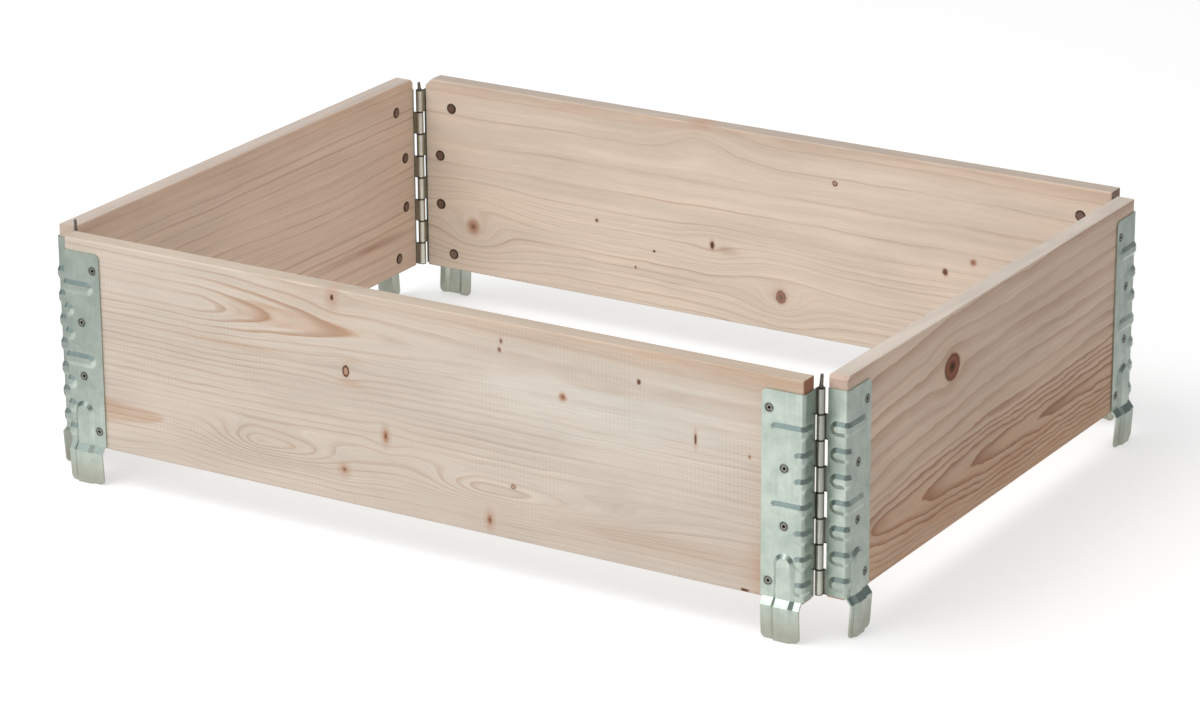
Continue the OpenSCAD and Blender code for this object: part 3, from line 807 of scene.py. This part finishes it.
def make_floor():
    """Pale floor that shows white, with the part's soft shadow on it; its reflections dim to the sides."""
    bpy.ops.mesh.primitive_plane_add(size=FLOOR_SIZE)
    floor = bpy.context.object
    floor.name = "floor"
    material = bpy.data.materials.new("floor")
    material.use_nodes = True
    tree = material.node_tree
    tree.nodes.clear()
    g = Graph(tree)
    plain = g.node("ShaderNodeBsdfDiffuse")
    plain.inputs["Color"].default_value = FLOOR_PLAIN
    shown = g.node("ShaderNodeBsdfDiffuse")
    shown.inputs["Color"].default_value = FLOOR_SHOWN
    glow = g.node("ShaderNodeEmission")
    split = g.node("ShaderNodeSeparateXYZ")
    g.feed(split.inputs[0], g.node("ShaderNodeNewGeometry").outputs["Position"])
    aside = g.scaled(g.math("ABSOLUTE", split.outputs[0]), FLOOR_BRIGHT, FLOOR_DIM, 0.0, FLOOR_DIMMING)
    mirrored = g.node("ShaderNodeLightPath").outputs["Is Glossy Ray"]
    g.feed(glow.inputs["Strength"], g.mul(g.sub(1.0, g.mul(aside, mirrored)), FLOOR_GLOW))
    both = g.node("ShaderNodeAddShader")
    g.feed(both.inputs[0], shown.outputs[0])
    g.feed(both.inputs[1], glow.outputs[0])
    mixed = g.node("ShaderNodeMixShader")
    g.feed(mixed.inputs[0], seen_ray(g))
    g.feed(mixed.inputs[1], plain.outputs[0])
    g.feed(mixed.inputs[2], both.outputs[0])
    g.feed(g.node("ShaderNodeOutputMaterial").inputs[0], mixed.outputs[0])
    floor.data.materials.append(material)


def make_world():
    """White background that lights the part more softly than it shows."""
    world = bpy.data.worlds.new("studio")
    bpy.context.scene.world = world
    world.use_nodes = True
    g = Graph(world.node_tree)
    background = world.node_tree.nodes["Background"]
    background.inputs["Color"].default_value = WHITE
    g.feed(background.inputs["Strength"], g.scaled(seen_ray(g), 0.0, 1.0, AMBIENT_LEVEL, 1.0, "LINEAR"))


def make_soft_box(name, direction, distance, size, level):
    """Square lamp facing the part; level is the light on a surface turned to it."""
    data = bpy.data.lights.new(name, "AREA")
    data.shape = "SQUARE"
    data.size = size
    data.energy = level * (math.pi * distance) ** 2
    lamp = bpy.data.objects.new(name, data)
    bpy.context.scene.collection.objects.link(lamp)
    lamp.location = direction.normalized() * distance
    lamp.rotation_euler = direction.to_track_quat("Z", "Y").to_euler()
    return lamp


def make_lights():
    """Soft box above the front left, and a wide fill that leaves no mirror image in the metal."""
    make_soft_box("key", KEY_DIRECTION, KEY_DISTANCE, KEY_SIZE, KEY_LEVEL)
    fill = make_soft_box("fill", FILL_DIRECTION, FILL_DISTANCE, FILL_SIZE, FILL_LEVEL)
    fill.visible_glossy = False


def make_screen():
    """Dark studio walls with a lighter panel round the part: only the metal's reflections show them."""
    bpy.ops.mesh.primitive_cylinder_add(
        vertices=SCREEN_FACES, radius=SCREEN_RADIUS, depth=SCREEN_HIGH - SCREEN_LOW, end_fill_type="NOTHING",
        location=(0.0, 0.0, (SCREEN_HIGH + SCREEN_LOW) / 2)
    )
    screen = bpy.context.object
    screen.name = "dark_screen"
    screen.visible_camera = False
    screen.visible_diffuse = False
    screen.visible_transmission = False
    screen.visible_shadow = False
    material, g, shader = new_material("dark_screen")
    split = g.node("ShaderNodeSeparateXYZ")
    g.feed(split.inputs[0], g.node("ShaderNodeNewGeometry").outputs["Position"])
    from_panel = g.math("ABSOLUTE", g.sub(split.outputs[0], PANEL_X))
    on_panel = g.scaled(from_panel, PANEL_HALF, PANEL_FADE, 1.0, 0.0)
    g.feed(shader.inputs["Base Color"], g.mix(on_panel, WALL_DARK, WALL_PANEL))
    shader.inputs["Roughness"].default_value = 1.0
    screen.data.materials.append(material)


def make_camera():
    """The photograph's camera."""
    data = bpy.data.cameras.new("camera")
    data.sensor_width = SENSOR_MM
    data.lens = LENS_MM
    data.clip_end = CAMERA_REACH
    camera = bpy.data.objects.new("camera", data)
    bpy.context.scene.collection.objects.link(camera)
    turn = (AIM - EYE).to_track_quat("-Z", "Y").to_matrix().to_4x4()
    camera.matrix_world = Matrix.Translation(EYE) @ turn @ Matrix.Rotation(ROLL, 4, "Z")
    bpy.context.scene.camera = camera


bpy.context.scene.view_settings.view_transform = "Standard"
make_camera()
make_world()
make_lights()
make_screen()
make_floor()
dress_nodes()
